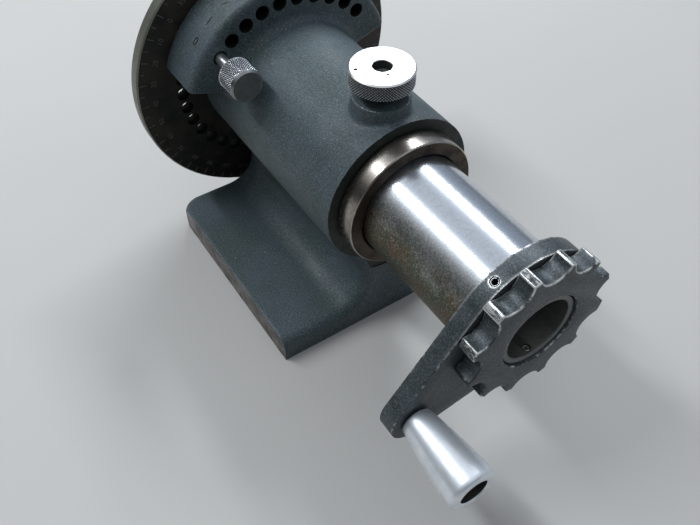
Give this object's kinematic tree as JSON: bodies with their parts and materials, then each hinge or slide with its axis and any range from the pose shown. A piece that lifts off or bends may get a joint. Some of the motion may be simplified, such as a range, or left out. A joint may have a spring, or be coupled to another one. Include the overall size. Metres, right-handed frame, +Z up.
{
  "type": "collet spin index fixture",
  "caption": "Bench indexing fixture: a cast stand carries a hollow collet spindle with a drilled index plate, a crank and a draw-tube handwheel, an index pin and a lock screw.",
  "frame": {"origin": "centre of the base's bottom face", "axes": "+Z up from the base; the spindle runs along Y at z 0.07, with the collet nose and index plate at +Y and the crank and handwheel at -Y"},
  "size_m": [0.127, 0.2215, 0.1335],
  "materials": {
    "casting_paint": "sandy dark grey enamel on a casting",
    "black_oxide_steel": "turned and blackened",
    "dark_steel": "oiled dark steel with worn edges",
    "ground_steel": "ground bright",
    "bare_aluminium": "turned and handled",
    "brass": "plain turned"
  },
  "bodies": {
    "body": {"body_casting": "casting_paint", "front_thrust_washer": "ground_steel"},
    "spindle": {"spindle": "ground_steel", "index_plate": "black_oxide_steel", "plate_screw_1": "dark_steel", "plate_screw_2": "dark_steel", "plate_screw_3": "dark_steel", "collet_key_screw": "dark_steel", "end_play_collar": "ground_steel", "collar_set_screw": "dark_steel", "crank_arm": "dark_steel", "arm_roll_pin": "ground_steel", "grip_stud": "dark_steel", "grip_washer": "ground_steel"},
    "grip": {"grip": "bare_aluminium"},
    "draw_tube": {"draw_tube": "dark_steel", "handwheel": "dark_steel", "handwheel_pin": "ground_steel"},
    "index_pin": {"index_pin": "ground_steel", "index_pin_head": "ground_steel"},
    "lock_shoe": {"lock_shoe": "brass"},
    "lock_screw": {"lock_screw": "dark_steel", "lock_knob": "ground_steel"}
  },
  "joints": [
    {"name": "spindle_turn", "type": "hinge", "parent": "body", "child": "spindle", "pos_m": [0, 0, 0.07], "axis": [0, 1, 0], "continuous": true},
    {"name": "draw_tube_turn", "type": "hinge", "parent": "spindle", "child": "draw_tube", "pos_m": [0, 0, 0.07], "axis": [0, 1, 0], "continuous": true},
    {"name": "grip_spin", "type": "hinge", "parent": "spindle", "child": "grip", "pos_m": [-0.0437, 0, 0.0442], "axis": [0, 1, 0], "continuous": true},
    {"name": "index_pin_slide", "type": "slide", "parent": "body", "child": "index_pin", "axis": [0, 1, 0], "range_m": [-0.016, 0.011]},
    {"name": "lock_shoe_slide", "type": "slide", "parent": "body", "child": "lock_shoe", "axis": [0, 0, 1], "range_m": [0, 0.00187]},
    {"name": "lock_screw_turn", "type": "hinge", "parent": "lock_shoe", "child": "lock_screw", "pos_m": [0, -0.0365, 0], "axis": [0, 0, 1], "range_deg": [0, 540]}
  ],
  "couplings": [
    {"joint": "lock_screw_turn", "follows": "lock_shoe_slide", "rad_per_m": 5026.5}
  ]
}
